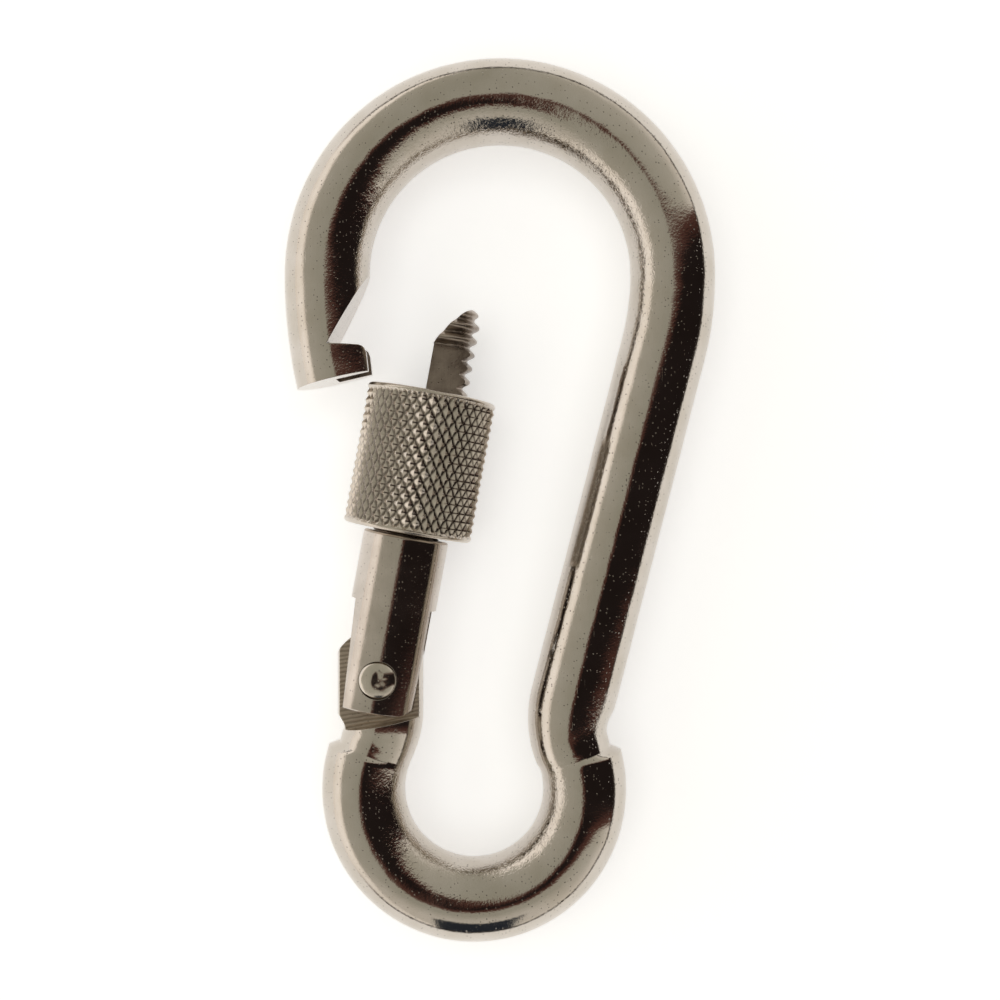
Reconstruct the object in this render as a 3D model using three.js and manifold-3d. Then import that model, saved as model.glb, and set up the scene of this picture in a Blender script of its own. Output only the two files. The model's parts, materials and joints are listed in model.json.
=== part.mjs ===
// Screw-lock snap hook, 80 x 8 size, lying with its rod in the XY plane and its thickness along Z.
// The hook is one bent round rod. The gate turns on a rivet at the rod's milled tongue, and its slanted
// threaded head hooks under the nose. The knurled sleeve screws up over the nose to lock the gate.
import * as THREE from 'three';
import { mergeVertices } from 'three/addons/utils/BufferGeometryUtils.js';
import Module from 'manifold-3d';

const wasm = await Module();
wasm.setup();

// ---------------------------------------------------------------- driving dimensions, mm and degrees

const ROD = 4.0; // rod radius at the spine, nose and tongue
const BOW_ROD = 3.95; // rod half-width round the load bow, drawn a little thin by the bend
const EYE_ROD = 3.84; // rod half-width round the eye bow
const NECK = 3.0; // outer half-width of the rod just above each step of the eye bow
const ROD_SIDES = 24;

const NOSE_BEND = 43.5;
const NOSE_TURN = 13.05;
const BOW_BEND = 16.05;

// The rod's centreline from the nose end to the tongue. A run is an arc (bend radius and turn, positive
// anticlockwise) or a straight (length). outer and inner are the half-widths at the run's two ends, on
// the side away from the middle of the hook and on the side facing it.
const CENTRELINE = [
  { bend: NOSE_BEND, turn: -NOSE_TURN, steps: 5, outer: [ROD, BOW_ROD], inner: [ROD, BOW_ROD] },
  { bend: BOW_BEND, turn: -180, steps: 24, outer: [BOW_ROD, BOW_ROD], inner: [BOW_ROD, BOW_ROD] },
  { bend: 28, turn: -14.5, steps: 3, outer: [BOW_ROD, ROD], inner: [BOW_ROD, ROD] },
  { length: 33.2, steps: 3, outer: [ROD, ROD], inner: [ROD, ROD] },
  { bend: 7.6, turn: 36.5, steps: 6, outer: [ROD, NECK + 0.1], inner: [ROD, 4.1] },
  { bend: 10.3, turn: -4, steps: 1, outer: [NECK + 0.1, NECK], inner: [4.1, 4.0] },
  { bend: 10.3, turn: -2.9, steps: 1, outer: [NECK, EYE_ROD], inner: [4.0, 3.95] },
  { bend: 10.3, turn: -212.4, steps: 26, outer: [EYE_ROD, EYE_ROD], inner: [3.95, 3.9] },
  { bend: 10.3, turn: -2.9, steps: 1, outer: [EYE_ROD, NECK], inner: [3.9, 3.9] },
  { bend: 10.3, turn: -4.8, steps: 1, outer: [NECK, NECK + 0.1], inner: [3.9, 3.9] },
  { bend: 6.67, turn: 25, steps: 4, outer: [NECK + 0.1, ROD], inner: [3.9, ROD] },
  { length: 9.0, steps: 2, outer: [ROD, ROD], inner: [ROD, ROD] },
];
const TONGUE_TO_PIN = 3.29; // from the end of the last bend up to the rivet

const GATE_TILT = 10.4; // rest tilt of the gate towards the middle of the hook
const CLOSED_TILT = -6.4; // tilt at which the gate's head is home in the nose
const OPEN_TILT = 27.0; // tilt at full open

const TONGUE_HALF = 1.65; // half the tongue's thickness
const TONGUE_ROUND = 4.53; // tongue's outline about the rivet, clear of the cam
const TONGUE_ARC = { right: 60, left: -75 }; // bearings at which the rounded outline starts and ends
const CAM_CLOSED = 4.6; // cam radius under the plunger with the gate closed
const CAM_OPEN = 5.6; // cam radius under the plunger with the gate fully open
const CAM_RISE = (CAM_OPEN - CAM_CLOSED) / (OPEN_TILT - CLOSED_TILT); // per degree of tilt
const SHOULDER_DROP = 4.22; // rivet down to the milled shoulder, on the tongue's centreline
const SHOULDER_SLOPE = 10.0;

const BARREL = { radius: 4.0, foot: -3.1, top: 13.3, chamfer: 0.3, footRound: 2.2 };
const FORK = { half: 1.85, top: 6.85 };
const FORK_RELIEF = { top: 3.43, foot: 2.72 }; // half-width left on the cheeks' outer side
const BORE = { radius: 1.9, bottom: 5.9, top: 12.6 };

const STUD = { major: 3.3, depth: 0.6, pitch: 1.27, foot: 12.9, tip: 35.0 };
const NECK_FLAT = { foot: 25.6, head: 31.1, half: 1.55, left: -0.6 };
const HEAD_BACK = { fullAcross: 0.75, fullHeight: 33.7, tipAcross: 2.4 };

const SLEEVE = { radius: 6.0, foot: 13.6, top: 26.7, chamfer: 0.45 };
const SLEEVE_BORE = { radius: 3.45, mouth: 5.25, mouthDepth: 7.1 };

const RIVET = { shank: 1.42, head: 1.7, seat: 3.55, rim: 3.7, crown: 4.35 };
const RIVET_HOLE = { radius: 1.5, spot: 1.85, spotFace: 3.45 };

const PLUNGER = { radius: 1.65, clearance: 0.28, length: 3.0 };
const SPRING = { wire: 0.25, coil: 1.4, turns: 5, endGap: 0.15 };

const NOTCH = { corner: -1.15, floor: 30.87, wallSlope: 0.7, reach: 9, lipEnd: 2.2, lipDrop: 0.4 };
// The lip's rounded corner, as distances back from its end and up from its top.
const LIP_CORNER = [
  [0.6, 0.07],
  [0.15, -0.2],
  [0, -0.7],
];
const LIP_SLOT = { half: 1.75, floor: -0.9, below: 6, above: 0.3 };

const FAR = 20; // reach of the cutting solids past the rod

// ---------------------------------------------------------------- helpers

const rad = THREE.MathUtils.degToRad;

// A closed geometry as a solid that can be joined and cut.
function solid(geometry) {
  const bare = geometry.clone();
  bare.deleteAttribute('normal');
  bare.deleteAttribute('uv');
  const merged = mergeVertices(bare, 1e-4);
  const vertProperties = new Float32Array(merged.attributes.position.array);
  const triVerts = new Uint32Array(merged.index.array);
  return new wasm.Manifold(new wasm.Mesh({ numProp: 3, vertProperties, triVerts }));
}

function geometryOf(manifold) {
  const mesh = manifold.getMesh();
  const geometry = new THREE.BufferGeometry();
  geometry.setAttribute('position', new THREE.BufferAttribute(mesh.vertProperties, 3));
  geometry.setIndex(new THREE.BufferAttribute(mesh.triVerts, 1));
  geometry.computeVertexNormals();
  return geometry;
}

// A plate of the given outline in X and Y, from z = low to z = high.
function plate(outline, low, high, curveSegments = 12) {
  const shape = outline instanceof THREE.Shape ? outline : new THREE.Shape(outline);
  const geometry = new THREE.ExtrudeGeometry(shape, {
    depth: high - low,
    bevelEnabled: false,
    steps: 1,
    curveSegments,
  });
  return geometry.translate(0, 0, low);
}

// A round bar along Z, centred on the origin.
function crossBar(radius, halfLength, sides = 24) {
  return new THREE.CylinderGeometry(radius, radius, 2 * halfLength, sides).rotateX(Math.PI / 2);
}

function points(pairs) {
  return pairs.map(([x, y]) => new THREE.Vector2(x, y));
}

// ---------------------------------------------------------------- the rod's path

// Stations along the centreline, each with its place, heading and half-widths. The origin here is the
// centre of the load bow.
function walkCentreline() {
  const noseEnd = [
    NOSE_BEND * (1 - Math.cos(rad(NOSE_TURN))) - BOW_BEND,
    -NOSE_BEND * Math.sin(rad(NOSE_TURN)),
  ];
  let [x, y] = noseEnd;
  let heading = rad(90 + NOSE_TURN);
  const first = CENTRELINE[0];
  const stations = [{ x, y, heading, outer: first.outer[0], inner: first.inner[0] }];
  for (const run of CENTRELINE) {
    const turn = rad(run.turn ?? 0) / run.steps;
    const arcChord = 2 * (run.bend ?? 0) * Math.sin(Math.abs(turn) / 2);
    const chord = run.length ? run.length / run.steps : arcChord;
    for (let i = 1; i <= run.steps; i += 1) {
      x += chord * Math.cos(heading + turn / 2);
      y += chord * Math.sin(heading + turn / 2);
      heading += turn;
      const part = i / run.steps;
      const outer = THREE.MathUtils.lerp(run.outer[0], run.outer[1], part);
      const inner = THREE.MathUtils.lerp(run.inner[0], run.inner[1], part);
      stations.push({ x, y, heading, outer, inner });
    }
  }
  return stations;
}

const stations = walkCentreline();
const tongueRun = CENTRELINE[CENTRELINE.length - 1];
const tongueEnd = stations[stations.length - 1];
const pin = new THREE.Vector2(tongueEnd.x, tongueEnd.y - tongueRun.length + TONGUE_TO_PIN);

// The bent rod: a unit cylinder whose rings are laid along the stations. A section is wider or narrower
// on its outer side than on its inner side, and its thickness follows the inner half-width.
function bentRod() {
  const rings = stations.length - 1;
  const geometry = new THREE.CylinderGeometry(1, 1, 1, ROD_SIDES, rings);
  const place = geometry.attributes.position;
  for (let i = 0; i < place.count; i += 1) {
    const station = stations[Math.round((0.5 - place.getY(i)) * rings)];
    const across = place.getX(i);
    const offset = across * (across > 0 ? station.outer : station.inner);
    const depth = place.getZ(i) * Math.min(ROD, station.inner);
    const side = station.heading + Math.PI / 2;
    const x = station.x + offset * Math.cos(side);
    const y = station.y + offset * Math.sin(side);
    place.setXYZ(i, x, y, depth);
  }
  return geometry;
}

// A geometry drawn in the gate's own frame (X across, Y along the gate from the rivet), set at a tilt.
function atTilt(geometry, tilt) {
  return geometry.rotateZ(-rad(tilt)).translate(pin.x, pin.y, 0);
}

// ---------------------------------------------------------------- hook body

// What the nose loses for the gate's head: everything right of the slanted wall and of the lip's end.
function noseNotch() {
  const { corner, floor, wallSlope, reach, lipEnd, lipDrop } = NOTCH;
  const outline = points([
    [corner, floor],
    ...LIP_CORNER.map(([back, up]) => [lipEnd - back, floor - lipDrop + up]),
    [lipEnd, floor - reach],
    [FAR, floor - reach],
    [FAR, floor + reach],
    [corner + wallSlope * reach, floor + reach],
  ]);
  return atTilt(plate(outline, -FAR, FAR), CLOSED_TILT);
}

// The slot through the lip, which takes the gate's flat neck.
function lipSlot() {
  const outline = points([
    [LIP_SLOT.floor, NOTCH.floor - LIP_SLOT.below],
    [FAR, NOTCH.floor - LIP_SLOT.below],
    [FAR, NOTCH.floor + LIP_SLOT.above],
    [LIP_SLOT.floor, NOTCH.floor + LIP_SLOT.above],
  ]);
  return atTilt(plate(outline, -LIP_SLOT.half, LIP_SLOT.half), CLOSED_TILT);
}

// The tongue's outline about the rivet: round on the left, then a spiral cam that rises evenly from the
// closed to the fully open tilt.
function tongueOutline() {
  const steps = 30;
  const outline = [];
  for (let i = 0; i <= steps; i += 1) {
    const bearing = THREE.MathUtils.lerp(TONGUE_ARC.right, TONGUE_ARC.left, i / steps);
    const cam = CAM_CLOSED + CAM_RISE * (bearing - CLOSED_TILT);
    const radius = THREE.MathUtils.clamp(cam, TONGUE_ROUND, CAM_OPEN);
    outline.push([pin.x + radius * Math.sin(rad(bearing)), pin.y + radius * Math.cos(rad(bearing))]);
  }
  outline.push([pin.x - FAR / 2, pin.y], [pin.x - FAR / 2, pin.y - FAR], [pin.x + FAR / 2, pin.y - FAR]);
  outline.push([pin.x + FAR / 2, pin.y]);
  return points(outline);
}

// What a cheek of the tongue loses, above the sloping milled shoulder.
function cheekCut(low, high) {
  const rise = (FAR / 2) * Math.tan(rad(SHOULDER_SLOPE));
  const shoulder = pin.y - SHOULDER_DROP;
  const outline = points([
    [pin.x - FAR / 2, shoulder - rise],
    [pin.x + FAR / 2, shoulder + rise],
    [pin.x + FAR / 2, pin.y + FAR / 2],
    [pin.x - FAR / 2, pin.y + FAR / 2],
  ]);
  return plate(outline, low, high);
}

// Everything above the tongue's rounded end.
function tongueTop() {
  const abovePin = 0.5;
  const block = plate(
    points([
      [pin.x - FAR / 2, pin.y + abovePin],
      [pin.x + FAR / 2, pin.y + abovePin],
      [pin.x + FAR / 2, pin.y + FAR / 2],
      [pin.x - FAR / 2, pin.y + FAR / 2],
    ]),
    -FAR / 2,
    FAR / 2,
  );
  return solid(block).subtract(solid(plate(tongueOutline(), -FAR, FAR)));
}

function hookBody() {
  const rivetHole = crossBar(RIVET_HOLE.radius, ROD).translate(pin.x, pin.y, 0);
  const body = solid(bentRod())
    .subtract(solid(noseNotch()))
    .subtract(solid(lipSlot()))
    .subtract(tongueTop())
    .subtract(solid(cheekCut(TONGUE_HALF, FAR)))
    .subtract(solid(cheekCut(-FAR, -TONGUE_HALF)))
    .subtract(solid(rivetHole));
  return geometryOf(body);
}

// ---------------------------------------------------------------- gate, in its own frame

// The barrel below the thread, as a turned profile.
function barrelBlank() {
  const profile = points([
    [0, BARREL.foot],
    [BARREL.radius, BARREL.foot],
    [BARREL.radius, BARREL.top - BARREL.chamfer],
    [BARREL.radius - BARREL.chamfer, BARREL.top],
    [0, BARREL.top],
  ]);
  return new THREE.LatheGeometry(profile, 36);
}

// A rod whose radius rises and falls once per pitch along a helix.
function threadedRod() {
  const rowsPerPitch = 4;
  const length = STUD.tip - STUD.foot;
  const rows = Math.round((length / STUD.pitch) * rowsPerPitch);
  const geometry = new THREE.CylinderGeometry(1, 1, length, 18, rows);
  geometry.translate(0, (STUD.foot + STUD.tip) / 2, 0);
  const place = geometry.attributes.position;
  for (let i = 0; i < place.count; i += 1) {
    const around = Math.atan2(place.getZ(i), place.getX(i)) / (2 * Math.PI);
    const turns = place.getY(i) / STUD.pitch + around;
    const flank = 2 * Math.abs(turns - Math.round(turns));
    const radius = STUD.major - STUD.depth * flank;
    place.setX(i, place.getX(i) * radius);
    place.setZ(i, place.getZ(i) * radius);
  }
  return geometry;
}

// What the stud loses on its left: a flat up to the head, then the head's slanted, slightly full back.
function headSlant() {
  const shape = new THREE.Shape();
  shape.moveTo(-FAR, NECK_FLAT.foot);
  shape.lineTo(NECK_FLAT.left, NECK_FLAT.foot);
  shape.lineTo(NECK_FLAT.left, NECK_FLAT.head);
  shape.quadraticCurveTo(HEAD_BACK.fullAcross, HEAD_BACK.fullHeight, HEAD_BACK.tipAcross, STUD.tip);
  shape.lineTo(HEAD_BACK.tipAcross, STUD.tip + 1);
  shape.lineTo(-FAR, STUD.tip + 1);
  return plate(shape, -FAR, FAR, 6);
}

// What one side of the neck loses, so that it passes the lip's slot.
function neckFlat(low, high) {
  const outline = points([
    [-FAR, NECK_FLAT.foot],
    [FAR, NECK_FLAT.foot],
    [FAR, NECK_FLAT.head],
    [-FAR, NECK_FLAT.head],
  ]);
  return plate(outline, low, high);
}

function forkSlot() {
  const outline = points([
    [-FAR, BARREL.foot - 1],
    [FAR, BARREL.foot - 1],
    [FAR, FORK.top],
    [-FAR, FORK.top],
  ]);
  return plate(outline, -FORK.half, FORK.half);
}

// What the fork's cheeks lose on their left, a flat that leans in towards the foot.
function forkRelief() {
  const outline = points([
    [-FAR, BARREL.foot],
    [-FORK_RELIEF.foot, BARREL.foot],
    [-FORK_RELIEF.top, FORK.top],
    [-FAR, FORK.top],
  ]);
  return plate(outline, -FAR, FAR);
}

// What the rounded lower right corner of the fork loses.
function footCorner() {
  const { radius, foot, footRound } = BARREL;
  const shape = new THREE.Shape();
  shape.moveTo(radius + 1, foot - 1);
  shape.lineTo(radius + 1, foot + footRound);
  shape.lineTo(radius, foot + footRound);
  shape.absarc(radius - footRound, foot + footRound, footRound, 0, -Math.PI / 2, true);
  shape.lineTo(radius - footRound, foot - 1);
  return plate(shape, -FAR, FAR, 8);
}

function gate() {
  const boreLength = BORE.top - BORE.bottom;
  const bore = new THREE.CylinderGeometry(BORE.radius, BORE.radius, boreLength, 24);
  bore.translate(0, (BORE.top + BORE.bottom) / 2, 0);
  const spotDepth = 2;
  const spot = crossBar(RIVET_HOLE.spot, spotDepth / 2);
  const spotMiddle = RIVET_HOLE.spotFace + spotDepth / 2;
  const body = solid(barrelBlank())
    .add(solid(threadedRod()))
    .subtract(solid(headSlant()))
    .subtract(solid(neckFlat(NECK_FLAT.half, FAR)))
    .subtract(solid(neckFlat(-FAR, -NECK_FLAT.half)))
    .subtract(solid(forkSlot()))
    .subtract(solid(forkRelief()))
    .subtract(solid(footCorner()))
    .subtract(solid(bore))
    .subtract(solid(crossBar(RIVET_HOLE.radius, FAR)))
    .subtract(solid(spot.clone().translate(0, 0, spotMiddle)))
    .subtract(solid(spot.clone().translate(0, 0, -spotMiddle)));
  return geometryOf(body);
}

// ---------------------------------------------------------------- sleeve, rivet, plunger and spring

function lockingSleeve() {
  const { radius, foot, top, chamfer } = SLEEVE;
  const mouthFloor = top - SLEEVE_BORE.mouthDepth;
  const profile = points([
    [SLEEVE_BORE.radius, foot],
    [radius - chamfer, foot],
    [radius, foot + chamfer],
    [radius, top - chamfer],
    [radius - chamfer, top],
    [SLEEVE_BORE.mouth, top],
    [SLEEVE_BORE.mouth, mouthFloor],
    [SLEEVE_BORE.radius, mouthFloor],
    [SLEEVE_BORE.radius, foot],
  ]);
  return new THREE.LatheGeometry(profile, 36);
}

function hingeRivet() {
  const { shank, head, seat, rim, crown } = RIVET;
  const domeSteps = 4;
  const upper = [];
  for (let i = 0; i <= domeSteps; i += 1) {
    const lift = (i / domeSteps) * (Math.PI / 2);
    const radius = i === domeSteps ? 0 : head * Math.cos(lift);
    upper.push([radius, rim + (crown - rim) * Math.sin(lift)]);
  }
  const lower = upper.map(([radius, height]) => [radius, -height]).reverse();
  const middle = [
    [head, -seat],
    [shank, -seat],
    [shank, seat],
    [head, seat],
  ];
  return new THREE.LatheGeometry(points([...lower, ...middle, ...upper]), 24).rotateX(Math.PI / 2);
}

const camAtRest = CAM_CLOSED + CAM_RISE * (GATE_TILT - CLOSED_TILT);
const plungerTip = camAtRest + PLUNGER.clearance;
const plungerTop = plungerTip + PLUNGER.length;

// A short pin with a ball nose, which rides on the cam.
function plunger() {
  const noseSteps = 6;
  const profile = [];
  for (let i = 0; i <= noseSteps; i += 1) {
    const lift = (i / noseSteps) * (Math.PI / 2);
    const radius = i === 0 ? 0 : PLUNGER.radius * Math.sin(lift);
    profile.push([radius, plungerTip + PLUNGER.radius * (1 - Math.cos(lift))]);
  }
  profile.push([PLUNGER.radius, plungerTop], [0, plungerTop]);
  return new THREE.LatheGeometry(points(profile), 20);
}

class Coil extends THREE.Curve {
  constructor(low, high) {
    super();
    this.low = low;
    this.high = high;
  }

  getPoint(part, target = new THREE.Vector3()) {
    const angle = part * SPRING.turns * 2 * Math.PI;
    const height = THREE.MathUtils.lerp(this.low, this.high, part);
    return target.set(SPRING.coil * Math.cos(angle), height, SPRING.coil * Math.sin(angle));
  }
}

function closingSpring() {
  const margin = SPRING.endGap + SPRING.wire;
  const section = new THREE.Shape().absarc(0, 0, SPRING.wire, 0, 2 * Math.PI);
  return new THREE.ExtrudeGeometry(section, {
    extrudePath: new Coil(plungerTop + margin, BORE.top - margin),
    steps: SPRING.turns * 12,
    curveSegments: 3,
    bevelEnabled: false,
  });
}

// ---------------------------------------------------------------- assembly

function steel(color, roughness) {
  return new THREE.MeshStandardMaterial({ color, roughness, metalness: 1.0 });
}

function piece(name, geometry, material) {
  const mesh = new THREE.Mesh(geometry, material);
  mesh.name = name;
  return mesh;
}

const hook = new THREE.Group();
hook.add(piece('hook_body', hookBody(), steel(0xb4ad9e, 0.18)));

const gateGroup = new THREE.Group();
gateGroup.position.set(pin.x, pin.y, 0);
gateGroup.rotation.z = -rad(GATE_TILT);
gateGroup.add(piece('gate', gate(), steel(0xa8a092, 0.25)));
gateGroup.add(piece('locking_sleeve', lockingSleeve(), steel(0xb8b2a4, 0.3)));
gateGroup.add(piece('hinge_rivet', hingeRivet(), steel(0xa39c8f, 0.28)));
gateGroup.add(piece('plunger', plunger(), steel(0x9a958c, 0.35)));
gateGroup.add(piece('closing_spring', closingSpring(), steel(0x8f8b84, 0.35)));
hook.add(gateGroup);

// The hook is set so that the origin is the centre of its bounding box.
hook.updateMatrixWorld(true);
const middle = new THREE.Box3().setFromObject(hook, true).getCenter(new THREE.Vector3());
hook.position.set(-middle.x, -middle.y, 0);

export default hook;
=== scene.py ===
"""Looks of the screw-lock snap hook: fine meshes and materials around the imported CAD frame.

Shapes are worked out in millimetres in the hook's plane and scaled to metres when a mesh is made.
"""

import json
import math

import bpy
import numpy as np
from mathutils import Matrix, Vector, noise


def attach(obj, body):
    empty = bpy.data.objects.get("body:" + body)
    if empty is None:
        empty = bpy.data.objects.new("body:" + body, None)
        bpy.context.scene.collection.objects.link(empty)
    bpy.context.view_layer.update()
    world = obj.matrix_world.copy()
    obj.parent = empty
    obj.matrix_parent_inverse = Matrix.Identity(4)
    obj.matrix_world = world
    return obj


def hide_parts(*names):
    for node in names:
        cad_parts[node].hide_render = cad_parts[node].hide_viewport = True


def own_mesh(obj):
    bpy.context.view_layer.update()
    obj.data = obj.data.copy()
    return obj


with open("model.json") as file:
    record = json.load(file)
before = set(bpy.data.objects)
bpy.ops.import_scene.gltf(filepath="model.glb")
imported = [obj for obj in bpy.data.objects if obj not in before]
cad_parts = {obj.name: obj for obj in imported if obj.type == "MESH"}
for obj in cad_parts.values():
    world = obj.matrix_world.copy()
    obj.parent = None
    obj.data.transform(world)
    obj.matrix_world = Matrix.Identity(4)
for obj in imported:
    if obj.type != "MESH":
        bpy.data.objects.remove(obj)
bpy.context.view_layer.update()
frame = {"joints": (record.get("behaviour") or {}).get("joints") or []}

MM = 0.001

# ------------------------------------------------------------------ dimensions, mm and degrees

ROD = 4.0
BOW_ROD = 3.95
EYE_ROD = 3.84
NECK = 3.0
LEDGE = 0.22
NOSE_BEND = 43.5
NOSE_TURN = 13.05
BOW_BEND = 16.05
EYE_BEND = 10.3
SPINE_LENGTH = 33.2
TONGUE_LENGTH = 9.0
TONGUE_TO_PIN = 3.29

# The rod's runs from the nose end to the tongue: bend radius (0 for a straight), turn in degrees or
# length, then the outer and the inner half-width at the run's two ends.
CENTRELINE = (
    (NOSE_BEND, -NOSE_TURN, ROD, BOW_ROD, ROD, BOW_ROD),
    (BOW_BEND, -180.0, BOW_ROD, BOW_ROD, BOW_ROD, BOW_ROD),
    (28.0, -14.5, BOW_ROD, ROD, BOW_ROD, ROD),
    (0.0, SPINE_LENGTH, ROD, ROD, ROD, ROD),
    (7.6, 36.5, ROD, NECK + 0.1, ROD, 4.1),
    (EYE_BEND, -4.0, NECK + 0.1, NECK, 4.1, 4.0),
    (EYE_BEND, -2.9, NECK, EYE_ROD, 4.0, 3.95),
    (EYE_BEND, -212.4, EYE_ROD, EYE_ROD, 3.95, 3.9),
    (EYE_BEND, -2.9, EYE_ROD, NECK, 3.9, 3.9),
    (EYE_BEND, -4.8, NECK, NECK + 0.1, 3.9, 3.9),
    (6.67, 25.0, NECK + 0.1, ROD, 3.9, ROD),
    (0.0, TONGUE_LENGTH, ROD, ROD, ROD, ROD),
)

GATE_TILT = 10.4
CLOSED_TILT = -6.4
OPEN_TILT = 27.0

TONGUE_HALF = 1.65
TONGUE_ROUND = 4.53
CAM_CLOSED = 4.6
CAM_OPEN = 5.6
CAM_RISE = (CAM_OPEN - CAM_CLOSED) / (OPEN_TILT - CLOSED_TILT)
TONGUE_LEFT = -62.0
TONGUE_RIGHT = 60.0
SHOULDER_DROP = 4.22
SHOULDER_SLOPE = 10.0

BARREL_R = 4.0
BARREL_EDGE = 0.3
FOOT_EDGE = 0.12
BARREL_FOOT = -3.1
BARREL_TOP = 13.3
FOOT_ROUND = 2.2
FORK_HALF = 1.85
FORK_TOP = 6.85
RELIEF_TOP = 3.43
RELIEF_FOOT = 2.72
BORE_R = 1.9
BORE_FOOT = 5.9
BORE_TOP = 12.6

STUD_MAJOR = 3.3
STUD_DEPTH = 0.6
STUD_PITCH = 1.27
STUD_FOOT = 12.9
STUD_TIP = 35.0
TIP_TAPER = 34.0
TIP_SLOPE = 0.6
THREAD_WEAR = 0.015
HEAD_BULGE = (0.75, 33.7)
HEAD_TIP = (2.4, STUD_TIP)
FLAT_FOOT = 25.6
HEAD_FOOT = 31.1
NECK_HALF = 1.55
NECK_LEFT = -0.6

SLEEVE_R = 6.0
SLEEVE_FOOT = 13.6
SLEEVE_TOP = 26.7
SLEEVE_RIM = 0.35
SLEEVE_BORE = 3.45
SLEEVE_MOUTH = 5.25
MOUTH_DEPTH = 7.1
KNURL_AROUND = 38
KNURL_PITCH = 1.47
KNURL_DEPTH = 0.33
KNURL_FADE = 0.25

RIVET_SHANK = 1.42
RIVET_HEAD = 1.7
RIVET_SEAT = 3.55
RIVET_RIM = 3.7
RIVET_CROWN = 4.3
RIVET_HOLE = 1.5
RIVET_SPOT = 1.73
SPOT_FACE = 3.45

PLUNGER_R = 1.65
PLUNGER_CLEARANCE = 0.28
PLUNGER_LENGTH = 3.0
SPRING_WIRE = 0.25
SPRING_COIL = 1.4
SPRING_TURNS = 5
SPRING_GAP = 0.15

NOTCH_CORNER = -1.15
NOTCH_FLOOR = 30.87
NOTCH_SLOPE = 0.7
NOTCH_REACH = 9.0
LIP_END = 2.2
LIP_DROP = 0.4
# The lip's rounded corner, as distances back from its end and up from its top.
LIP_CORNER = ((0.6, 0.07), (0.33, -0.03), (0.12, -0.24), (0.0, -0.7))
SLOT_HALF = 1.75
SLOT_FLOOR = -0.9
SLOT_BELOW = 6.0
SLOT_ABOVE = 0.3

FAR = 20.0

hinge = next(j for j in frame["joints"] if j["name"] == "gate_hinge")
pin = np.array(hinge["pos_m"][:2]) / MM


# ------------------------------------------------------------------ stage, light and camera

CAMERA_HEIGHT = 142.0
FRAME_WIDTH = 93.0
SENSOR = 36.0
FLOOR_Z = -6.05
FLOOR_HALF = 900.0

# The room's brightness round the hook's long axis, from the left horizon over the top to the right.
SKY_STOPS = [
    (0.00, (1.15, 1.09, 1.02)),
    (0.10, (1.30, 1.24, 1.15)),
    (0.14, (1.20, 1.12, 1.02)),
    (0.18, (0.52, 0.50, 0.43)),
    (0.45, (0.42, 0.41, 0.345)),
    (0.80, (0.55, 0.53, 0.46)),
    (1.00, (0.95, 0.90, 0.82)),
]
# The dark panel, from its warm edge inwards. Its limits are components of the direction looked in.
PANEL_STOPS = [
    (0.00, (0.13, 0.06, 0.045)),
    (0.40, (0.085, 0.038, 0.03)),
    (0.62, (0.018, 0.013, 0.012)),
]
PANEL_LEFT = 0.07
PANEL_NEAR = 0.40
PANEL_FAR = 0.16
PANEL_LEAN = 0.30
PANEL_WIDENING = 0.35
PATCH_HALF = 0.24
PATCH_START = 0.80

# Name, place and size in metres, power in watts.
LIGHTS = (
    ("overhead", (0.0, 0.0, 0.7), 0.7, 1.95),
    ("left_fill", (-0.6, 0.1, 0.35), 0.5, 0.35),
)


def new_nodes(tree):
    """Empties a node tree and returns a function that adds nodes and sets their inputs."""
    tree.nodes.clear()

    def add(kind, links=None, **values):
        node = tree.nodes.new(kind)
        for key, value in values.items():
            if hasattr(node, key):
                setattr(node, key, value)
            else:
                node.inputs[key.replace("_", " ")].default_value = value
        for key, source in (links or {}).items():
            tree.links.new(source, node.inputs[key])
        return node

    return add


def math_node(add, operation, first, second=None, clamp=False):
    """A Math node whose two inputs are sockets or numbers; returns its output."""
    node = add("ShaderNodeMath", operation=operation, use_clamp=clamp)
    for slot, value in enumerate((first, second)):
        if value is None:
            continue
        if isinstance(value, (int, float)):
            node.inputs[slot].default_value = value
        else:
            node.id_data.links.new(value, node.inputs[slot])
    return node.outputs[0]


def ramp(add, source, stops, interpolation="LINEAR"):
    """A colour ramp over the given (position, colour) stops."""
    node = add("ShaderNodeValToRGB", {0: source})
    node.color_ramp.interpolation = interpolation
    elements = node.color_ramp.elements
    while len(elements) < len(stops):
        elements.new(1.0)
    for element, (position, colour) in zip(elements, stops):
        element.position = position
        element.color = (*colour, 1.0)
    return node.outputs["Color"]


def remap(add, source, low, high, out_low=0.0, out_high=1.0):
    node = add("ShaderNodeMapRange", {0: source})
    node.inputs[1].default_value = low
    node.inputs[2].default_value = high
    node.inputs[3].default_value = out_low
    node.inputs[4].default_value = out_high
    return node.outputs[0]


def mix_colour(add, factor, first, second):
    node = add("ShaderNodeMix", data_type="RGBA")
    for index, value in ((0, factor), (6, first), (7, second)):
        if isinstance(value, (int, float)):
            node.inputs[index].default_value = value
        elif isinstance(value, tuple):
            node.inputs[index].default_value = (*value, 1.0)
        else:
            node.id_data.links.new(value, node.inputs[index])
    return node.outputs[2]


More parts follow.
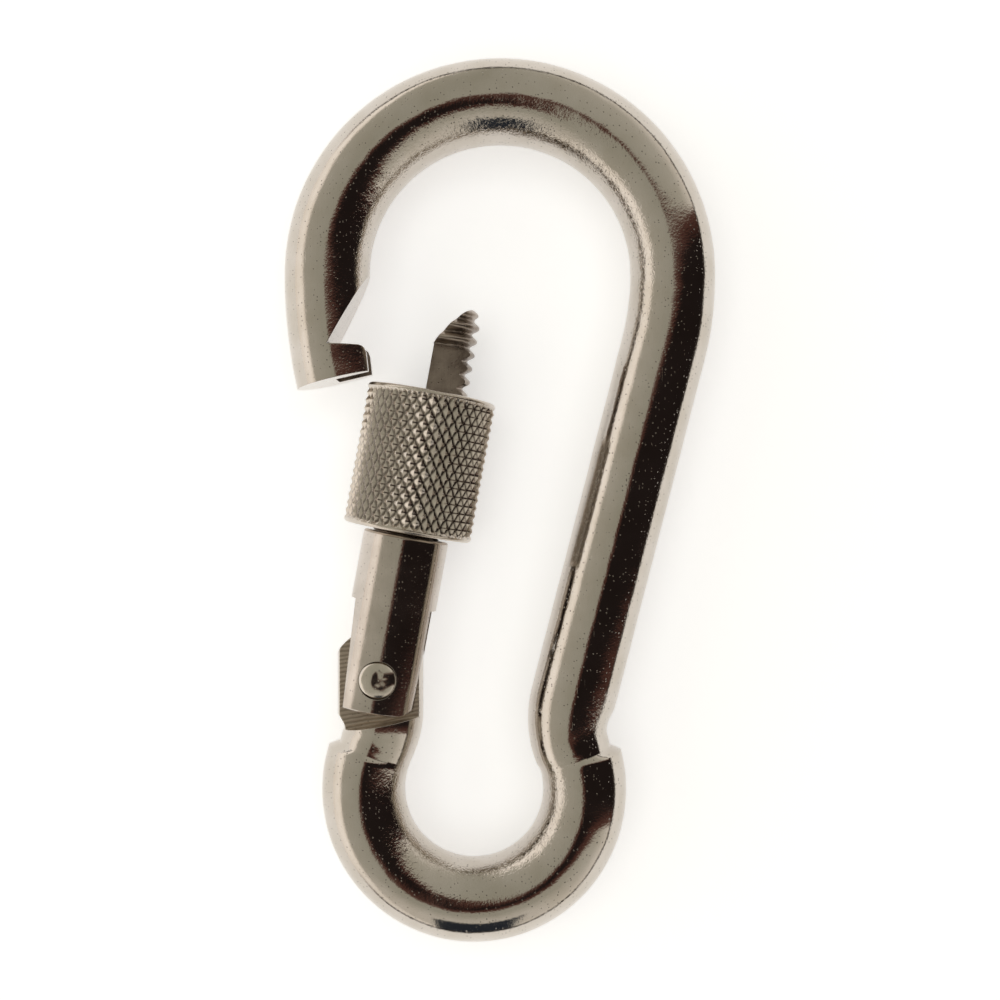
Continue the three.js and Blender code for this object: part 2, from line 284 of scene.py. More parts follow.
def build_world():
    """A soft grey room: a bright low side on the left, a dark panel overhead on the right, and a small
    dark patch low in front. The camera itself sees a plain pale backdrop."""
    world = bpy.data.worlds.new("studio")
    bpy.context.scene.world = world
    world.use_nodes = True
    add = new_nodes(world.node_tree)
    link = world.node_tree.links.new
    direction = add("ShaderNodeTexCoord").outputs["Generated"]
    axes = add("ShaderNodeSeparateXYZ", {0: direction}).outputs
    side = math_node(add, "ARCTAN2", axes[0], axes[2])
    quarter_turn = 1.57
    sky = ramp(add, remap(add, side, -quarter_turn, quarter_turn), SKY_STOPS)
    low_light = remap(add, axes[1], -0.80, -0.55, 0.6, 0.0)
    sky = mix_colour(add, low_light, sky, (0.85, 0.80, 0.72))

    lean = math_node(add, "MULTIPLY", axes[0], PANEL_LEAN)
    towards = math_node(add, "MULTIPLY", axes[1], -1.0)
    widening = math_node(add, "MULTIPLY", math_node(add, "MAXIMUM", towards, 0.0), PANEL_WIDENING)
    left = math_node(add, "ADD", math_node(add, "ADD", axes[0], PANEL_LEFT), widening)
    near = math_node(add, "ADD", axes[1], PANEL_NEAR)
    far = math_node(add, "SUBTRACT", math_node(add, "ADD", lean, PANEL_FAR), axes[1])
    inside = math_node(add, "MINIMUM", left, math_node(add, "MINIMUM", near, far))
    panel = ramp(add, remap(add, inside, 0.0, 0.2), PANEL_STOPS)
    room = mix_colour(add, remap(add, inside, -0.012, 0.012), sky, panel)

    patch_edge = math_node(add, "SUBTRACT", PATCH_HALF, math_node(add, "ABSOLUTE", axes[0]))
    patch_depth = math_node(add, "SUBTRACT", towards, PATCH_START)
    patch = remap(add, math_node(add, "MINIMUM", patch_edge, patch_depth), 0.0, 0.03)
    room = mix_colour(add, patch, room, (0.025, 0.03, 0.04))

    open_side = remap(add, axes[0], -0.75, -0.55, 1.0, 0.0)
    horizon = math_node(add, "MAXIMUM", remap(add, axes[2], 0.05, 0.09), open_side)
    room = mix_colour(add, horizon, (0.09, 0.08, 0.07), room)
    seen = add("ShaderNodeLightPath").outputs["Is Camera Ray"]
    colour = mix_colour(add, seen, room, (0.93, 0.92, 0.91))
    background = add("ShaderNodeBackground", {"Color": colour})
    out = add("ShaderNodeOutputWorld")
    link(background.outputs[0], out.inputs["Surface"])


def build_floor():
    mesh = bpy.data.meshes.new("floor")
    half = FLOOR_HALF * MM
    z = FLOOR_Z * MM
    corners = [(-half, -half, z), (half, -half, z), (half, half, z), (-half, half, z)]
    mesh.from_pydata(corners, [], [(0, 1, 2, 3)])
    floor = bpy.data.objects.new("floor", mesh)
    bpy.context.collection.objects.link(floor)
    material = bpy.data.materials.new("floor_paper")
    material.use_nodes = True
    shader = material.node_tree.nodes["Principled BSDF"]
    shader.inputs["Base Color"].default_value = (0.90, 0.90, 0.90, 1)
    shader.inputs["Roughness"].default_value = 0.9
    shader.inputs["Specular IOR Level"].default_value = 0.1
    shader.inputs["Emission Color"].default_value = (1, 1, 1, 1)
    shader.inputs["Emission Strength"].default_value = 0.42
    mesh.materials.append(material)


def build_lights():
    """Two large soft boxes. They light the paper, and the metal reflects the room instead of them."""
    for name, place, size, power in LIGHTS:
        light = bpy.data.lights.new(name, "AREA")
        light.size = size
        light.energy = power
        lamp = bpy.data.objects.new(name, light)
        lamp.location = place
        lamp.rotation_euler = (-Vector(place)).to_track_quat("-Z", "Y").to_euler()
        lamp.visible_glossy = False
        bpy.context.collection.objects.link(lamp)


def build_camera():
    data = bpy.data.cameras.new("camera")
    data.sensor_width = SENSOR
    data.lens = SENSOR * CAMERA_HEIGHT / FRAME_WIDTH
    data.clip_start = 0.005
    camera = bpy.data.objects.new("camera", data)
    camera.location = (0, 0, CAMERA_HEIGHT * MM)
    bpy.context.collection.objects.link(camera)
    bpy.context.scene.camera = camera
    bpy.context.scene.view_settings.view_transform = "Standard"


# ------------------------------------------------------------------ materials


# Depths of the surface marks, in mm.
PIT_DEPTH = 0.012
SKIN_DEPTH = 0.006
SCRATCH_DEPTH = 0.002
CRUMPLE_DEPTH = 0.16
MILLING_DEPTH = 0.014

PIT_SHARE = 0.38
BARE_METAL = (0.07, 0.05, 0.04)
# Painted shade: the near-black brown that the colour in the deepest knurl valleys is darkened towards.
PAINTED_VALLEY_SHADE = (0.06, 0.045, 0.035)
WAVES_PER_LINE = 3.2


def steel(
    name,
    light,
    dark,
    smooth,
    pits=1.0,
    grain=0.0,
    milling=None,
    rounding=0.1,
    valley_shade=0.0,
):
    """Bright nickel-plated steel. light and dark are the colours it is mottled with, and smooth is the
    (lowest, highest) roughness. pits and grain scale the bump of its small pits and of the crumpled skin
    inside bends, milling is the (direction, lines per mm) of machining marks, rounding is the radius in
    mm that its edges catch the light with, and the last argument is how far the colour is darkened with
    painted shade where it is marked as sunk, in the knurl's valleys."""
    material = bpy.data.materials.new(name)
    material.use_nodes = True
    add = new_nodes(material.node_tree)
    link = material.node_tree.links.new
    place = add("ShaderNodeTexCoord").outputs["Object"]
    scaled = add("ShaderNodeMapping", {0: place})
    scaled.inputs["Scale"].default_value = (1 / MM, 1 / MM, 1 / MM)
    point = scaled.outputs[0]

    patches = add("ShaderNodeTexNoise", {"Vector": point}, Scale=0.35, Detail=4.0).outputs["Fac"]
    fine = add("ShaderNodeTexNoise", {"Vector": point}, Scale=5.0, Detail=3.0).outputs["Fac"]
    folds = add("ShaderNodeTexNoise", {"Vector": point}, Scale=3.2, Detail=2.0, Distortion=1.2)
    crumple = folds.outputs["Fac"]
    cells = add("ShaderNodeTexVoronoi", {"Vector": point}, Scale=3.4)
    lot = add("ShaderNodeSeparateColor", {0: cells.outputs["Color"]}).outputs[0]
    chosen = math_node(add, "GREATER_THAN", lot, 1.0 - PIT_SHARE)
    dots = remap(add, cells.outputs["Distance"], 0.10, 0.24, 1.0, 0.0)
    hole = math_node(add, "MULTIPLY", dots, chosen)

    stretched = add("ShaderNodeMapping", {0: point})
    stretched.inputs["Scale"].default_value = (3.2, 0.16, 3.2)
    stretched.inputs["Rotation"].default_value = (0.0, 0.0, 0.5)
    drawn = add("ShaderNodeTexNoise", {"Vector": stretched.outputs[0]}, Scale=2.6, Detail=2.0)
    streak = drawn.outputs["Fac"]
    scratch = remap(add, streak, 0.70, 0.76)

    height = math_node(add, "MULTIPLY", hole, -PIT_DEPTH * pits)
    skin = math_node(add, "MULTIPLY", fine, SKIN_DEPTH * pits)
    height = math_node(add, "ADD", height, skin)
    height = math_node(add, "ADD", height, math_node(add, "MULTIPLY", scratch, -SCRATCH_DEPTH))
    if grain:
        mask = add("ShaderNodeAttribute", attribute_name="bend_grain").outputs["Fac"]
        amount = math_node(add, "MULTIPLY", mask, CRUMPLE_DEPTH * grain)
        height = math_node(add, "ADD", height, math_node(add, "MULTIPLY", crumple, amount))
    if milling:
        turn, lines = milling
        marks = add("ShaderNodeMapping", {0: point})
        marks.inputs["Rotation"].default_value = (0.0, 0.0, math.radians(turn))
        wave = add("ShaderNodeTexWave", {"Vector": marks.outputs[0]}, wave_type="BANDS")
        wave.bands_direction = "Y"
        wave.inputs["Scale"].default_value = lines / WAVES_PER_LINE
        wave.inputs["Distortion"].default_value = 5.0
        wave.inputs["Detail"].default_value = 3.0
        wave.inputs["Detail Scale"].default_value = 0.5
        streak = wave.outputs["Fac"]
        height = math_node(add, "ADD", height, math_node(add, "MULTIPLY", streak, MILLING_DEPTH))

    edge = add("ShaderNodeBevel", samples=4, Radius=rounding * MM)
    bump = add("ShaderNodeBump", {"Height": height, "Normal": edge.outputs[0]}, Distance=MM)
    weight = 0.5 if milling else 0.15
    mottle = math_node(add, "MULTIPLY", patches, 1 - weight)
    shade = math_node(add, "ADD", mottle, math_node(add, "MULTIPLY", streak, weight))
    colour = mix_colour(add, remap(add, shade, 0.35, 0.65), dark, light)
    bareness = math_node(add, "MULTIPLY", hole, 0.75 * min(pits, 1.0))
    colour = mix_colour(add, bareness, colour, BARE_METAL)
    # Painted shade: where the sunk mask is deep, the colour is mixed towards the dark shade colour,
    # standing in for the shade in the knurl's valleys.
    if valley_shade:
        sunk = add("ShaderNodeAttribute", attribute_name="sunk").outputs["Fac"]
        colour = mix_colour(add, remap(add, sunk, 0.6, 1.0, 0.0, valley_shade), colour, PAINTED_VALLEY_SHADE)
    lowest, highest = smooth
    marked = math_node(add, "MULTIPLY", math_node(add, "ADD", hole, scratch), 0.08)
    rough = math_node(add, "ADD", remap(add, patches, 0.3, 0.7, lowest, highest), marked)
    surface = {"Base Color": colour, "Roughness": rough, "Normal": bump.outputs[0]}
    shader = add("ShaderNodeBsdfPrincipled", surface)
    shader.inputs["Metallic"].default_value = 1.0
    out = add("ShaderNodeOutputMaterial")
    link(shader.outputs[0], out.inputs["Surface"])
    return material


POLISHED = steel("polished_rod", (0.60, 0.55, 0.50), (0.54, 0.49, 0.43), (0.05, 0.11), grain=0.2)
MILLED = steel(
    "milled_face",
    (0.66, 0.57, 0.48),
    (0.44, 0.37, 0.30),
    (0.30, 0.42),
    pits=1.5,
    milling=(-10, 2.6),
)
TURNED = steel("turned_gate", (0.60, 0.54, 0.49), (0.50, 0.45, 0.40), (0.07, 0.14), pits=0.8)
THREAD = steel(
    "dull_thread",
    (0.50, 0.43, 0.37),
    (0.24, 0.20, 0.17),
    (0.24, 0.36),
    pits=1.6,
    rounding=0.06,
)
# The sleeve's colour is darkened with painted shade in the knurl's deep valleys, through the sunk mask.
KNURL = steel(
    "knurled_sleeve",
    (0.66, 0.60, 0.53),
    (0.55, 0.49, 0.43),
    (0.16, 0.26),
    pits=0.6,
    rounding=0.04,
    valley_shade=0.85,
)
PEENED = steel("peened_rivet", (0.64, 0.59, 0.52), (0.52, 0.47, 0.41), (0.12, 0.22), pits=0.7)
SPRING_STEEL = steel("spring_wire", (0.50, 0.48, 0.46), (0.38, 0.36, 0.34), (0.2, 0.32), pits=0.5)


# ------------------------------------------------------------------ mesh helpers


def make_object(name, points, faces, materials):
    mesh = bpy.data.meshes.new(name)
    mesh.from_pydata([tuple(p) for p in np.asarray(points) * MM], [], faces)
    for material in materials:
        mesh.materials.append(material)
    mesh.validate()
    obj = bpy.data.objects.new(name, mesh)
    bpy.context.collection.objects.link(obj)
    return obj


def tube_faces(rows, cols, start_cap, end_cap):
    """Quads between rings of a tube, outward for rings laid anticlockwise about the way they advance."""
    faces = []
    for r in range(rows - 1):
        for c in range(cols):
            d = (c + 1) % cols
            faces.append((r * cols + c, r * cols + d, (r + 1) * cols + d, (r + 1) * cols + c))
    if start_cap:
        faces.append(tuple(reversed(range(cols))))
    if end_cap:
        faces.append(tuple(range((rows - 1) * cols, rows * cols)))
    return faces


def revolve(name, profile, cols, materials):
    """A closed ring profile of (radius, height) points turned about the Y axis, or one that starts and
    ends on the axis. Its outline runs upwards on the outside."""
    profile = np.array(profile, dtype=float)
    angles = np.arange(cols) * 2 * math.pi / cols
    on_axis = profile[0][0] < 1e-9
    body = profile[1:-1] if on_axis else profile
    rings = np.stack(
        [
            np.outer(body[:, 0], np.sin(angles)),
            np.repeat(body[:, 1:2], cols, axis=1),
            np.outer(body[:, 0], np.cos(angles)),
        ],
        axis=2,
    )
    points = rings.reshape(-1, 3)
    rows = len(body)
    faces = tube_faces(rows, cols, False, False)
    if on_axis:
        low, high = len(points), len(points) + 1
        points = np.vstack([points, [[0, profile[0][1], 0], [0, profile[-1][1], 0]]])
        for c in range(cols):
            d = (c + 1) % cols
            faces.append((low, d, c))
            faces.append((high, (rows - 1) * cols + c, (rows - 1) * cols + d))
    else:
        for c in range(cols):
            d = (c + 1) % cols
            faces.append(((rows - 1) * cols + c, (rows - 1) * cols + d, d, c))
    return make_object(name, points, faces, materials)


def prism(outline, low, high, material):
    """A cutting prism of an anticlockwise outline, from z = low to z = high."""
    count = len(outline)
    points = [(x, y, low) for x, y in outline] + [(x, y, high) for x, y in outline]
    faces = [tuple(reversed(range(count))), tuple(range(count, 2 * count))]
    for i in range(count):
        j = (i + 1) % count
        faces.append((i, j, count + j, count + i))
    return make_object("cutter", points, faces, [material])


def cross_bar(radius, low, high, material, sides=64):
    turns = [2 * math.pi * i / sides for i in range(sides)]
    return prism([(radius * math.cos(a), radius * math.sin(a)) for a in turns], low, high, material)


def move_points(obj, change):
    """Applies a function of the (count, 3) array of points, in millimetres."""
    mesh = obj.data
    flat = np.empty(len(mesh.vertices) * 3, dtype=np.float32)
    mesh.vertices.foreach_get("co", flat)
    points = change(flat.reshape(-1, 3).astype(float) / MM) * MM
    mesh.vertices.foreach_set("co", points.astype(np.float32).ravel())
    mesh.update()
    return obj


def at_tilt(obj, tilt):
    """Sets an object drawn in the gate's own frame (Y along the gate from the rivet) at a tilt."""
    a = math.radians(tilt)

    def turn(p):
        x = p[:, 0] * math.cos(a) + p[:, 1] * math.sin(a) + pin[0]
        y = -p[:, 0] * math.sin(a) + p[:, 1] * math.cos(a) + pin[1]
        return np.stack([x, y, p[:, 2]], axis=1)

    return move_points(obj, turn)


def combine(obj, tool, operation="DIFFERENCE"):
    """Cuts or joins a tool into an object for good, and deletes the tool."""
    modifier = obj.modifiers.new("cut", "BOOLEAN")
    modifier.object = tool
    modifier.operation = operation
    modifier.solver = "EXACT"
    modifier.material_mode = "TRANSFER"
    bpy.context.view_layer.update()
    graph = bpy.context.evaluated_depsgraph_get()
    result = bpy.data.meshes.new_from_object(obj.evaluated_get(graph))
    obj.modifiers.clear()
    obj.data = result
    bpy.data.objects.remove(tool)


def finish_piece(obj, body, slot, *nodes, sharp=32):
    for polygon in obj.data.polygons:
        polygon.use_smooth = True
    obj.data.set_sharp_from_angle(angle=math.radians(sharp))
    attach(obj, body)
    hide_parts(*nodes)


def ripple(points, scale, seed):
    """Smooth noise between -1 and 1 at each point, with features about 1 / scale mm wide."""
    shift = Vector((seed * 13.7, seed * 7.3, seed * 3.1))
    return np.array([noise.noise(Vector(p) * scale + shift) for p in points])


# ------------------------------------------------------------------ hook body

STATION_GAP = 0.28
ROD_SIDES = 112
TIGHT_BEND = 14.0


def walk_centreline():
    """Stations (x, y, heading, outer, inner, tightness) along the rod, set on the frame's pin. Tightness
    runs from -1 to 1, and its sign is the side that the rod bends to."""
    x = NOSE_BEND * (1 - math.cos(math.radians(NOSE_TURN))) - BOW_BEND
    y = -NOSE_BEND * math.sin(math.radians(NOSE_TURN))
    heading = math.radians(90 + NOSE_TURN)
    stations = [(x, y, heading, ROD, ROD, 0.0)]
    for bend, amount, outer0, outer1, inner0, inner1 in CENTRELINE:
        turn = math.radians(amount) if bend else 0.0
        length = bend * abs(turn) if bend else amount
        steps = max(2, math.ceil(length / STATION_GAP))
        step = turn / steps
        chord = 2 * bend * math.sin(abs(step) / 2) if bend else length / steps
        for i in range(1, steps + 1):
            x += chord * math.cos(heading + step / 2)
            y += chord * math.sin(heading + step / 2)
            heading += step
            part = i / steps
            ease = part * part * (3 - 2 * part)
            outer = outer0 + (outer1 - outer0) * ease
            inner = inner0 + (inner1 - inner0) * ease
            tightness = math.copysign(min(1.0, TIGHT_BEND / bend), -turn) if bend else 0.0
            stations.append((x, y, heading, outer, inner, tightness))
    stations = np.array(stations)
    tongue_x, tongue_y = stations[-1][:2]
    stations[:, 0] += pin[0] - tongue_x
    stations[:, 1] += pin[1] - (tongue_y - TONGUE_LENGTH + TONGUE_TO_PIN)
    return stations


def soften(values, radius):
    """A running mean along the rod."""
    kernel = np.ones(2 * radius + 1) / (2 * radius + 1)
    padded = np.pad(values, radius, mode="edge")
    return np.convolve(padded, kernel, mode="valid")


def bent_rod():
    stations = walk_centreline()
    x, y, heading, outer, inner, tightness = stations.T
    around = 2 * math.pi * np.arange(ROD_SIDES) / ROD_SIDES
    across = np.cos(around)[None, :]
    depth = np.sin(around)[None, :]
    offset = np.where(across > 0, across * outer[:, None], across * inner[:, None])
    dip = LEDGE * np.clip((EYE_ROD - outer) / (EYE_ROD - NECK), 0.0, 1.0) ** 2
    z = depth * (np.minimum(ROD, inner) - dip)[:, None]
    side = heading + math.pi / 2
    px = x[:, None] + offset * np.cos(side)[:, None]
    py = y[:, None] + offset * np.sin(side)[:, None]
    points = np.stack([px, py, z], axis=2).reshape(-1, 3)
    grain = soften(tightness, 9)[:, None] * -across
    grain = np.clip(grain * 1.4 + 0.05, 0.0, 1.0).ravel()

    outward_x = across * np.cos(side)[:, None]
    outward_y = across * np.sin(side)[:, None]
    outward = np.stack([outward_x, outward_y, depth + 0 * px], axis=2).reshape(-1, 3)
    # The rod isn't truly round: long and short swells, and a finer one where a bend crumples it.
    waves = 0.016 * ripple(points, 0.22, 1) + 0.010 * ripple(points, 0.7, 2)
    waves += grain * 0.014 * ripple(points, 1.6, 3)
    points += outward * waves[:, None]

    rows = len(stations)
    faces = [tuple(reversed(f)) for f in tube_faces(rows, ROD_SIDES, True, True)]
    rod = make_object("hook_rod", points, faces, [POLISHED])
    layer = rod.data.attributes.new("bend_grain", "FLOAT", "POINT")
    layer.data.foreach_set("value", grain.astype(np.float32))
    return rod


def nose_notch():
    """What the nose loses for the gate's head, right of the slanted wall and of the lip's end."""
    lip_top = NOTCH_FLOOR - LIP_DROP
    outline = [(NOTCH_CORNER, NOTCH_FLOOR)]
    outline += [(LIP_END - back, lip_top + up) for back, up in LIP_CORNER]
    outline += [
        (LIP_END, NOTCH_FLOOR - NOTCH_REACH),
        (FAR, NOTCH_FLOOR - NOTCH_REACH),
        (FAR, NOTCH_FLOOR + NOTCH_REACH),
        (NOTCH_CORNER + NOTCH_SLOPE * NOTCH_REACH, NOTCH_FLOOR + NOTCH_REACH),
    ]
    return at_tilt(prism(outline, -FAR, FAR, TURNED), CLOSED_TILT)


def lip_slot():
    """The slot through the lip, which takes the gate's flat neck."""
    low = NOTCH_FLOOR - SLOT_BELOW
    high = NOTCH_FLOOR + SLOT_ABOVE
    outline = [(SLOT_FLOOR, low), (FAR, low), (FAR, high), (SLOT_FLOOR, high)]
    return at_tilt(prism(outline, -SLOT_HALF, SLOT_HALF, THREAD), CLOSED_TILT)


def tongue_top():
    """Everything above the tongue's outline: round on the left, then a spiral cam."""
    steps = 90
    outline = []
    for i in range(steps + 1):
        bearing = TONGUE_LEFT + (TONGUE_RIGHT - TONGUE_LEFT) * i / steps
        cam = CAM_CLOSED + CAM_RISE * (bearing - CLOSED_TILT)
        radius = min(max(cam, TONGUE_ROUND), CAM_OPEN)
        a = math.radians(bearing)
        outline.append((radius * math.sin(a), radius * math.cos(a)))
    start_height = outline[0][1]
    end_height = outline[-1][1]
    outline += [(FAR / 2, end_height), (FAR / 2, FAR / 2)]
    outline += [(-FAR / 2, FAR / 2), (-FAR / 2, start_height)]
    return at_tilt(prism(outline, -FAR, FAR, MILLED), 0)


def cheek_cut(low, high):
    """What a cheek of the tongue loses, above the sloping milled shoulder."""
    rise = FAR / 2 * math.tan(math.radians(SHOULDER_SLOPE))
    outline = [
        (-FAR / 2, -SHOULDER_DROP - rise),
        (FAR / 2, -SHOULDER_DROP + rise),
        (FAR / 2, FAR / 2),
        (-FAR / 2, FAR / 2),
    ]
    return at_tilt(prism(outline, low, high, MILLED), 0)


def build_hook():
    hook = bent_rod()
    for tool in (
        nose_notch(),
        lip_slot(),
        tongue_top(),
        cheek_cut(TONGUE_HALF, FAR),
        cheek_cut(-FAR, -TONGUE_HALF),
        at_tilt(cross_bar(RIVET_HOLE, -FAR, FAR, MILLED), 0),
    ):
        combine(hook, tool)
    finish_piece(hook, "hook", "polished_rod", "hook_body")


# ------------------------------------------------------------------ gate


def rounded_corner(centre, radius, start, end, steps=6):
    """Points of an arc about (x, y), with its angles in degrees."""
    angles = np.radians(np.linspace(start, end, steps + 1))
    return [(centre[0] + radius * math.cos(a), centre[1] + radius * math.sin(a)) for a in angles]


def barrel_blank():
    """The barrel as a turned bar, with a rounded top edge and a broken foot edge."""
    low = BARREL_FOOT + FOOT_EDGE
    high = BARREL_TOP - BARREL_EDGE
    profile = [(0, BARREL_FOOT), (BARREL_R - FOOT_EDGE, BARREL_FOOT), (BARREL_R, low)]
    rings = 60
    for i in range(1, rings):
        profile.append((BARREL_R, low + (high - low) * i / rings))
    profile += rounded_corner((BARREL_R - BARREL_EDGE, high), BARREL_EDGE, 0, 90)
    profile.append((0, BARREL_TOP))
    return revolve("gate_piece", profile, 128, [TURNED])


def threaded_rod():
    """A rod with a worn, rounded right-hand thread, tapered at its tip."""
    cols, per_pitch = 96, 14
    rows = int((STUD_TIP - STUD_FOOT) / STUD_PITCH * per_pitch) + 1
    heights = np.linspace(STUD_FOOT, STUD_TIP, rows)
    angles = 2 * math.pi * np.arange(cols) / cols
    turns = heights[:, None] / STUD_PITCH - angles[None, :] / (2 * math.pi)
    flank = 2 * np.abs(turns - np.round(turns))
    shape = 0.5 - 0.5 * np.cos(math.pi * np.clip(flank, 0.0, 1.0) ** 1.2)
    taper = TIP_SLOPE * np.maximum(heights[:, None] - TIP_TAPER, 0.0)
    radius = STUD_MAJOR - STUD_DEPTH * shape - taper
    points = np.stack(
        [radius * np.sin(angles), heights[:, None] + 0 * radius, radius * np.cos(angles)], axis=2
    ).reshape(-1, 3)
    worn = 0.05 * ripple(points, 1.1, 5) + 0.03 * ripple(points, 3.0, 6)
    points[:, 0] *= 1 + worn / STUD_MAJOR - THREAD_WEAR
    points[:, 2] *= 1 + worn / STUD_MAJOR - THREAD_WEAR
    return make_object("thread", points, tube_faces(rows, cols, True, True), [THREAD])


def head_slant():
    """What the stud loses on its left: a flat up to the head, then the head's slightly full back."""
    steps = 14
    curve = []
    for i in range(steps + 1):
        s = i / steps
        weights = ((1 - s) ** 2, 2 * s * (1 - s), s * s)
        corners = ((NECK_LEFT, HEAD_FOOT), HEAD_BULGE, HEAD_TIP)
        x = sum(weight * corner[0] for weight, corner in zip(weights, corners))
        y = sum(weight * corner[1] for weight, corner in zip(weights, corners))
        curve.append((x, y))
    outline = [(-FAR, FLAT_FOOT), (NECK_LEFT, FLAT_FOOT)] + curve
    outline += [(HEAD_TIP[0], STUD_TIP + 1), (-FAR, STUD_TIP + 1)]
    return prism(outline, -FAR, FAR, THREAD)


def box_cut(x0, x1, y0, y1, low, high, material):
    return prism([(x0, y0), (x1, y0), (x1, y1), (x0, y1)], low, high, material)


def fork_relief():
    """The flat on the left of the fork's cheeks, which leans in towards the foot."""
    below = BARREL_FOOT - 0.01
    outline = [(-FAR, below), (-RELIEF_FOOT, below)]
    outline += [(-RELIEF_TOP, FORK_TOP), (-FAR, FORK_TOP)]
    return prism(outline, -FAR, FAR, TURNED)


def foot_corner():
    """What the rounded lower right corner of the fork loses."""
    centre = (BARREL_R - FOOT_ROUND, BARREL_FOOT + FOOT_ROUND)
    outline = rounded_corner(centre, FOOT_ROUND, 0, -90, 12)
    outline.append((centre[0], BARREL_FOOT - 1))
    outline.append((BARREL_R + 1, BARREL_FOOT - 1))
    outline.append((BARREL_R + 1, centre[1]))
    return prism(outline, -FAR, FAR, MILLED)


def bore_tool():
    profile = [(0, BORE_FOOT), (BORE_R, BORE_FOOT), (BORE_R, BORE_TOP), (0, BORE_TOP)]
    return revolve("cutter", profile, 64, [THREAD])


def build_gate():
    gate = barrel_blank()
    combine(gate, threaded_rod(), "UNION")
    for tool in (
        head_slant(),
        box_cut(-FAR, FAR, FLAT_FOOT, HEAD_FOOT, NECK_HALF, FAR, THREAD),
        box_cut(-FAR, FAR, FLAT_FOOT, HEAD_FOOT, -FAR, -NECK_HALF, THREAD),
        box_cut(-FAR, FAR, BARREL_FOOT - 1, FORK_TOP, -FORK_HALF, FORK_HALF, MILLED),
        fork_relief(),
        foot_corner(),
        bore_tool(),
        cross_bar(RIVET_HOLE, -FAR, FAR, MILLED),
        cross_bar(RIVET_SPOT, SPOT_FACE, FAR, MILLED),
        cross_bar(RIVET_SPOT, -FAR, -SPOT_FACE, MILLED),
    ):
        combine(gate, tool)
    at_tilt(gate, GATE_TILT)
    finish_piece(gate, "gate", "turned_gate", "gate")


# ------------------------------------------------------------------ sleeve, rivet, plunger, spring


def build_sleeve():
    """A nut with a diamond knurl between two plain rims, a threaded bore and a wide mouth."""
    cols = KNURL_AROUND * 12
    rows = 118
    low, high = SLEEVE_FOOT + SLEEVE_RIM, SLEEVE_TOP - SLEEVE_RIM
    edge = SLEEVE_RIM
    mouth_floor = SLEEVE_TOP - MOUTH_DEPTH
    lead = 0.3
    groove_depth = 0.25
    inside = [(SLEEVE_MOUTH - 0.1, SLEEVE_TOP), (SLEEVE_MOUTH, SLEEVE_TOP - 0.1)]
    inside += [(SLEEVE_MOUTH, mouth_floor), (SLEEVE_BORE + lead, mouth_floor)]
    steps = 40
    for i in range(steps + 1):
        part = i / steps
        height = (mouth_floor - lead) * (1 - part) + (SLEEVE_FOOT + lead) * part
        in_groove = i % 4 in (1, 2)
        inside.append((SLEEVE_BORE + (groove_depth if in_groove else 0.0), height))
    inside.append((SLEEVE_BORE + lead, SLEEVE_FOOT))
    lower = rounded_corner((SLEEVE_R - edge, SLEEVE_FOOT + edge), edge, -90, 0)
    upper = rounded_corner((SLEEVE_R - edge, SLEEVE_TOP - edge), edge, 0, 90)
    knurled = [(SLEEVE_R, h) for h in np.linspace(low, high, rows)]
    profile = lower + knurled + upper + inside
    sleeve = revolve("sleeve_piece", profile, cols, [KNURL])

    def knurl(p):
        radius = np.hypot(p[:, 0], p[:, 2])
        angle = np.arctan2(p[:, 0], p[:, 2]) / (2 * math.pi) * KNURL_AROUND
        climb = (p[:, 1] - low) / KNURL_PITCH
        first = angle + climb
        second = angle - climb
        from_first = np.abs(first - np.round(first))
        from_second = np.abs(second - np.round(second))
        ridge = np.minimum(from_first, from_second) * 2
        ends = np.clip(np.minimum(p[:, 1] - low, high - p[:, 1]) / KNURL_FADE, 0.0, 1.0)
        outside = radius > SLEEVE_R - 0.01
        sunk = np.where(outside, KNURL_DEPTH * (1 - ridge) * ends, 0.0)
        wear = np.where(outside, 0.02 * ripple(p, 1.4, 8), 0.0)
        factor = (radius - sunk - np.abs(wear)) / radius
        return np.stack([p[:, 0] * factor, p[:, 1], p[:, 2] * factor], axis=1)

    move_points(sleeve, knurl)
    # The sunk mask: 0 on the knurl's crests and 1 in its deepest valleys, where the sleeve's material
    # paints shade.
    radii = np.array([math.hypot(v.co.x, v.co.z) / MM for v in sleeve.data.vertices])
    sunk = np.where(radii > SLEEVE_MOUTH + 0.2, (SLEEVE_R - radii) / KNURL_DEPTH, 0.0)
    layer = sleeve.data.attributes.new("sunk", "FLOAT", "POINT")
    layer.data.foreach_set("value", np.clip(sunk, 0.0, 1.0).astype(np.float32))
    at_tilt(sleeve, GATE_TILT)
    finish_piece(sleeve, "sleeve", "knurled_sleeve", "locking_sleeve", sharp=40)


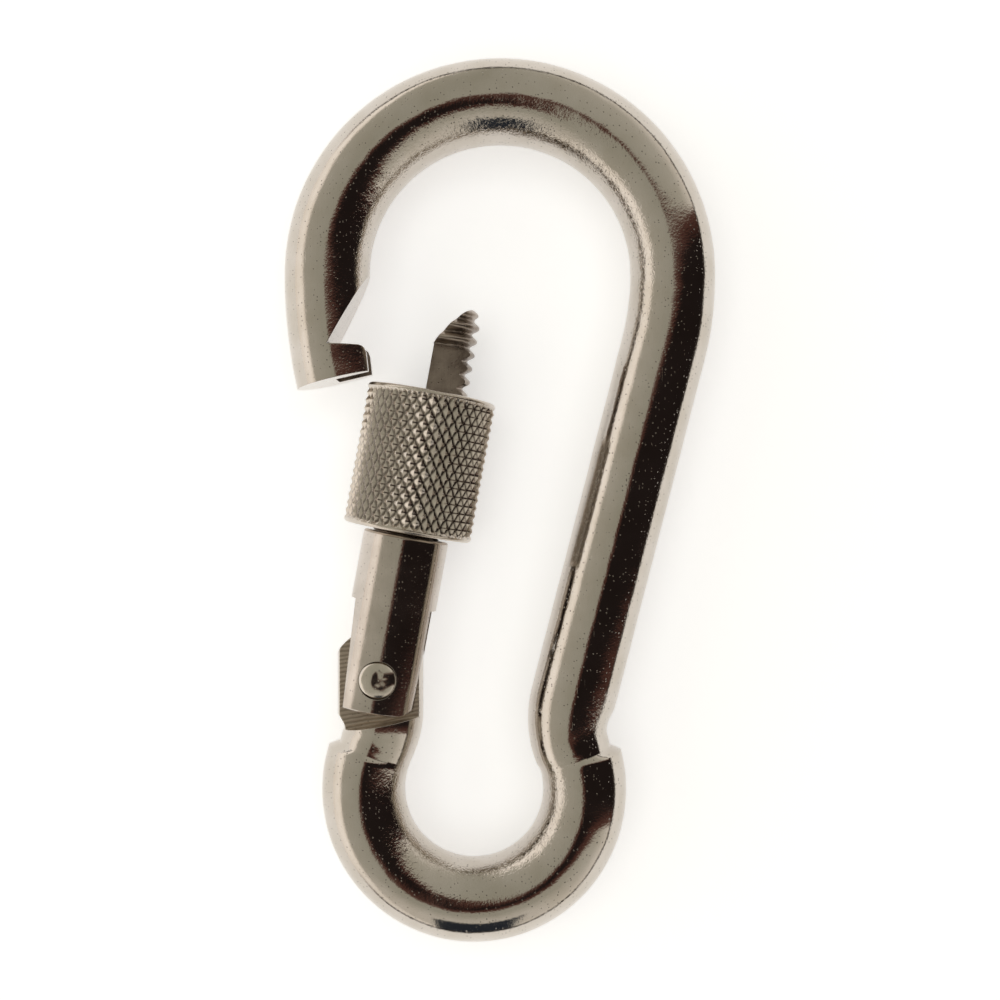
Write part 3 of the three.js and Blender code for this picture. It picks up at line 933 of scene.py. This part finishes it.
def build_rivet():
    """A pin with a low peened head at each end, dented by the hammer."""
    steps = 14
    upper = []
    for i in range(steps + 1):
        lift = i / steps * math.pi / 2
        radius = RIVET_HEAD * math.cos(lift) if i < steps else 0.0
        upper.append((radius, RIVET_RIM + (RIVET_CROWN - RIVET_RIM) * math.sin(lift)))
    lower = [(r, -h) for r, h in reversed(upper)]
    shank = [
        (RIVET_HEAD, -RIVET_SEAT),
        (RIVET_SHANK, -RIVET_SEAT),
        (RIVET_SHANK, RIVET_SEAT),
        (RIVET_HEAD, RIVET_SEAT),
    ]
    rivet = revolve("rivet_piece", lower + shank + upper, 72, [PEENED])

    def dent(p):
        p = np.stack([p[:, 0], -p[:, 2], p[:, 1]], axis=1)
        from_blow = np.hypot(p[:, 0] - 0.45, p[:, 1] - 0.1)
        crown = np.clip((np.abs(p[:, 2]) - RIVET_RIM) / (RIVET_CROWN - RIVET_RIM), 0.0, 1.0)
        bowl = np.exp(-((from_blow / 0.8) ** 2)) * 0.12
        rough = 0.10 * ripple(p, 1.5, 11)
        p[:, 2] -= np.sign(p[:, 2]) * crown * np.maximum(bowl + rough, 0.0)
        return p

    move_points(rivet, dent)
    at_tilt(rivet, GATE_TILT)
    finish_piece(rivet, "gate", "rivet", "hinge_rivet")


cam_rest = CAM_CLOSED + CAM_RISE * (GATE_TILT - CLOSED_TILT)
plunger_tip = cam_rest + PLUNGER_CLEARANCE
plunger_top = plunger_tip + PLUNGER_LENGTH


def build_plunger():
    """A short pin with a ball nose, which rides on the cam."""
    steps = 16
    profile = []
    for i in range(steps + 1):
        lift = i / steps * math.pi / 2
        radius = PLUNGER_R * math.sin(lift) if i else 0.0
        profile.append((radius, plunger_tip + PLUNGER_R * (1 - math.cos(lift))))
    edge = 0.2
    profile += rounded_corner((PLUNGER_R - edge, plunger_top - edge), edge, 0, 90)
    profile.append((0, plunger_top))
    piece = revolve("plunger_piece", profile, 64, [SPRING_STEEL])
    at_tilt(piece, GATE_TILT)
    finish_piece(piece, "plunger", "plunger", "plunger")


def build_spring():
    """A coil between the plunger and the end of the bore, made at its length with the gate at rest."""
    cols, per_turn = 16, 48
    rows = SPRING_TURNS * per_turn + 1
    low = plunger_top + SPRING_GAP + SPRING_WIRE
    high = BORE_TOP - SPRING_GAP - SPRING_WIRE
    part = np.linspace(0, 1, rows)
    angle = part * SPRING_TURNS * 2 * math.pi
    radial = np.stack([np.cos(angle), 0 * angle, np.sin(angle)], axis=1)
    up = np.array([0.0, 1.0, 0.0])
    centre = SPRING_COIL * radial + (low + (high - low) * part)[:, None] * up
    around = 2 * math.pi * np.arange(cols) / cols
    sideways = np.cos(around)[None, :, None] * radial[:, None, :]
    upwards = np.sin(around)[None, :, None] * up
    points = (centre[:, None, :] + SPRING_WIRE * (sideways + upwards)).reshape(-1, 3)
    piece = make_object("spring_piece", points, tube_faces(rows, cols, True, True), [SPRING_STEEL])
    at_tilt(piece, GATE_TILT)
    finish_piece(piece, "gate", "spring_wire", "closing_spring")
    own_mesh(piece)


build_world()
build_floor()
build_lights()
build_camera()
build_hook()
build_gate()
build_sleeve()
build_rivet()
build_plunger()
build_spring()
